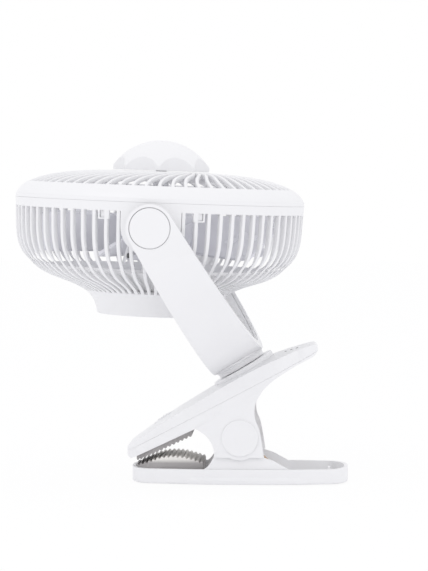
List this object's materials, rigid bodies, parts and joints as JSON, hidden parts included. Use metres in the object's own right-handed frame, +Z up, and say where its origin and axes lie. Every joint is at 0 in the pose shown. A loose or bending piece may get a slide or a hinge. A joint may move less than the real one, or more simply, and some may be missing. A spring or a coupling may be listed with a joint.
{
  "type": "clip fan",
  "caption": "Rechargeable clip fan: round fan head with a spiral grille, tilting in a U yoke that swivels on a sprung clamp with toothed jaw pads.",
  "frame": {"origin": "on the underside of the rubber foot, straight below the spring pin that the clip opens on", "axes": "+Z up with the clip standing on its foot; +X from the jaws' nose to the thumb end; +Y across the clip, away from the picture's view"},
  "size_m": [0.2076, 0.1976, 0.2124],
  "materials": {
    "shell": "satin white",
    "blade": "satin pale grey",
    "rubber": "dull grey",
    "steel": "plain",
    "spring": "oiled, brown",
    "copper": "enamelled wire on steel",
    "board": "green resist",
    "cell": "foil",
    "magnet": "plain",
    "lead": "black",
    "light": "frosted"
  },
  "bodies": {
    "base": {"base_shell": "shell", "base_foot": "rubber", "lower_pad": "rubber", "spring_pin": "steel", "torsion_spring": "spring"},
    "upper_jaw": {"jaw_body": "shell", "jaw_cover": "shell", "upper_pad": "rubber", "swivel_disc": "shell", "battery_cell": "cell", "control_board": "board", "usb_socket": "steel", "indicator_lens": "light", "spring_cap_near": "shell", "spring_cap_far": "shell"},
    "power_button": {"power_button": "shell"},
    "yoke": {"yoke_frame": "shell", "yoke_liner": "shell", "yoke_lead": "lead", "pivot_cap_near": "shell", "pivot_cap_far": "shell", "pivot_pin_near": "steel", "pivot_pin_far": "steel", "friction_washer_near": "rubber", "friction_washer_far": "rubber", "swivel_washer": "steel", "swivel_screw": "steel"},
    "head": {"rear_cage": "shell", "front_grille": "shell", "motor_mount": "shell", "motor_stator": "copper", "front_bearing": "steel", "rear_bearing": "steel", "motor_board": "board", "motor_lead": "lead"},
    "impeller": {"impeller": "blade", "rotor_can": "steel", "rotor_magnet": "magnet", "motor_shaft": "steel", "spinner_nut": "shell"},
    "knob": {"front_knob": "shell"}
  },
  "joints": [
    {"name": "jaw_open", "type": "hinge", "parent": "base", "child": "upper_jaw", "pos_m": [0, 0, 0.029], "axis": [0, 1, 0], "range_deg": [0, 35], "stiffness_Nm_per_rad": 0.52, "springref_deg": -60.16, "deforming": ["torsion_spring"]},
    {"name": "yoke_swivel", "type": "hinge", "parent": "upper_jaw", "child": "yoke", "pos_m": [0.0009, 0, 0.07133], "axis": [-0.5075, 0, 0.8616], "range_deg": [-175, 175]},
    {"name": "head_tilt", "type": "hinge", "parent": "yoke", "child": "head", "pos_m": [-0.05113, 0, 0.15965], "axis": [0, 1, 0], "range_deg": [-175, 175]},
    {"name": "impeller_spin", "type": "hinge", "parent": "head", "child": "impeller", "pos_m": [-0.05113, 0, 0.15965], "axis": [0.0375, 0, 0.9993], "continuous": true},
    {"name": "knob_turn", "type": "hinge", "parent": "head", "child": "knob", "pos_m": [-0.05113, 0, 0.15965], "axis": [0.0375, 0, 0.9993], "range_deg": [0, 90]},
    {"name": "button_press", "type": "slide", "parent": "upper_jaw", "child": "power_button", "axis": [0.5935, 0, -0.8049], "range_m": [0, 0.0008], "stiffness_N_per_m": 800}
  ]
}
